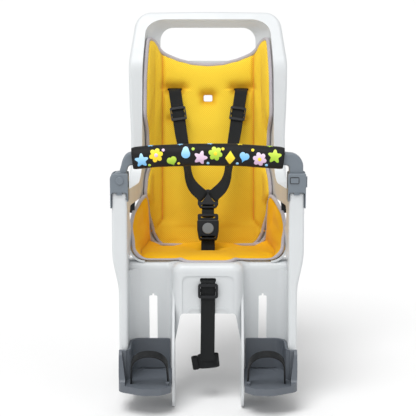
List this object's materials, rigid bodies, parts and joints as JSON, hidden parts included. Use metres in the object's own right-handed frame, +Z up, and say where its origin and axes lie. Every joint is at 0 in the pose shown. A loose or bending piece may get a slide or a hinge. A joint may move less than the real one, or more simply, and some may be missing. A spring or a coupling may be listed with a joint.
{
  "type": "child bicycle seat",
  "caption": "Rear-mounted child bicycle seat: moulded bucket with leg guards, mesh cushions, five-point style harness, hinged padded safety bar and sliding footrests.",
  "frame": {"origin": "centre of the underside of the rack plate, where the seat rests on a bicycle's rear rack", "axes": "+Z up, the seat faces -Y, +X to the left hand of the seated child, which is the right of the picture; left and right in the names of nodes are as seen from in front"},
  "size_m": [0.3895, 0.4635, 0.7693],
  "materials": {
    "shell": "fine moulded grain",
    "pad": "air mesh over foam",
    "bar": "satin",
    "sleeve": "printed cloth over foam",
    "webbing": "woven webbing",
    "hardware": "satin",
    "button": "satin",
    "footrest": "fine moulded grain",
    "rubber": "matt",
    "plate": "glass-filled nylon",
    "steel": "zinc plated"
  },
  "bodies": {
    "seat": {"seat_shell": "shell", "back_pad": "pad", "seat_pad": "pad", "hinge_bracket": "bar", "latch_bracket": "bar", "shoulder_strap_left": "webbing", "shoulder_strap_right": "webbing", "yoke_strap": "webbing", "crotch_strap": "webbing", "retention_strap": "webbing", "retention_loop": "webbing", "pad_tab_left": "webbing", "pad_tab_right": "webbing", "strap_slider_left": "hardware", "strap_slider_right": "hardware", "strap_anchor_left": "hardware", "strap_anchor_right": "hardware", "harness_yoke": "hardware", "buckle_tongue": "hardware", "buckle_body": "hardware", "crotch_anchor": "hardware", "retention_slider": "hardware", "rack_plate": "plate", "hinge_pin": "steel", "bracket_screws": "steel", "plate_screws": "steel"},
    "bar": {"safety_bar": "bar", "bar_sleeve": "sleeve"},
    "latch": {"latch_button": "bar"},
    "buckle": {"buckle_button": "button"},
    "left_footrest": {"footrest_left": "footrest", "footrest_clip_left": "footrest", "footrest_screw_left": "steel", "foot_strap_left": "rubber", "foot_stud_left": "footrest"},
    "right_footrest": {"footrest_right": "footrest", "footrest_clip_right": "footrest", "footrest_screw_right": "steel", "foot_strap_right": "rubber", "foot_stud_right": "footrest"}
  },
  "joints": [
    {"name": "bar_swing", "type": "hinge", "parent": "seat", "child": "bar", "pos_m": [-0.174, -0.132, 0.22], "axis": [0, -1, 0], "range_deg": [0, 100]},
    {"name": "latch_press", "type": "slide", "parent": "seat", "child": "latch", "axis": [0, 1, 0], "range_m": [0, 0.003], "stiffness_N_per_m": 600},
    {"name": "buckle_press", "type": "slide", "parent": "seat", "child": "buckle", "axis": [0, 0.8828, -0.4698], "range_m": [0, 0.003], "stiffness_N_per_m": 600},
    {"name": "footrest_left_slide", "type": "slide", "parent": "seat", "child": "left_footrest", "axis": [0, 0, 1], "range_m": [0, 0.11]},
    {"name": "footrest_right_slide", "type": "slide", "parent": "seat", "child": "right_footrest", "axis": [0, 0, 1], "range_m": [0, 0.11]}
  ]
}
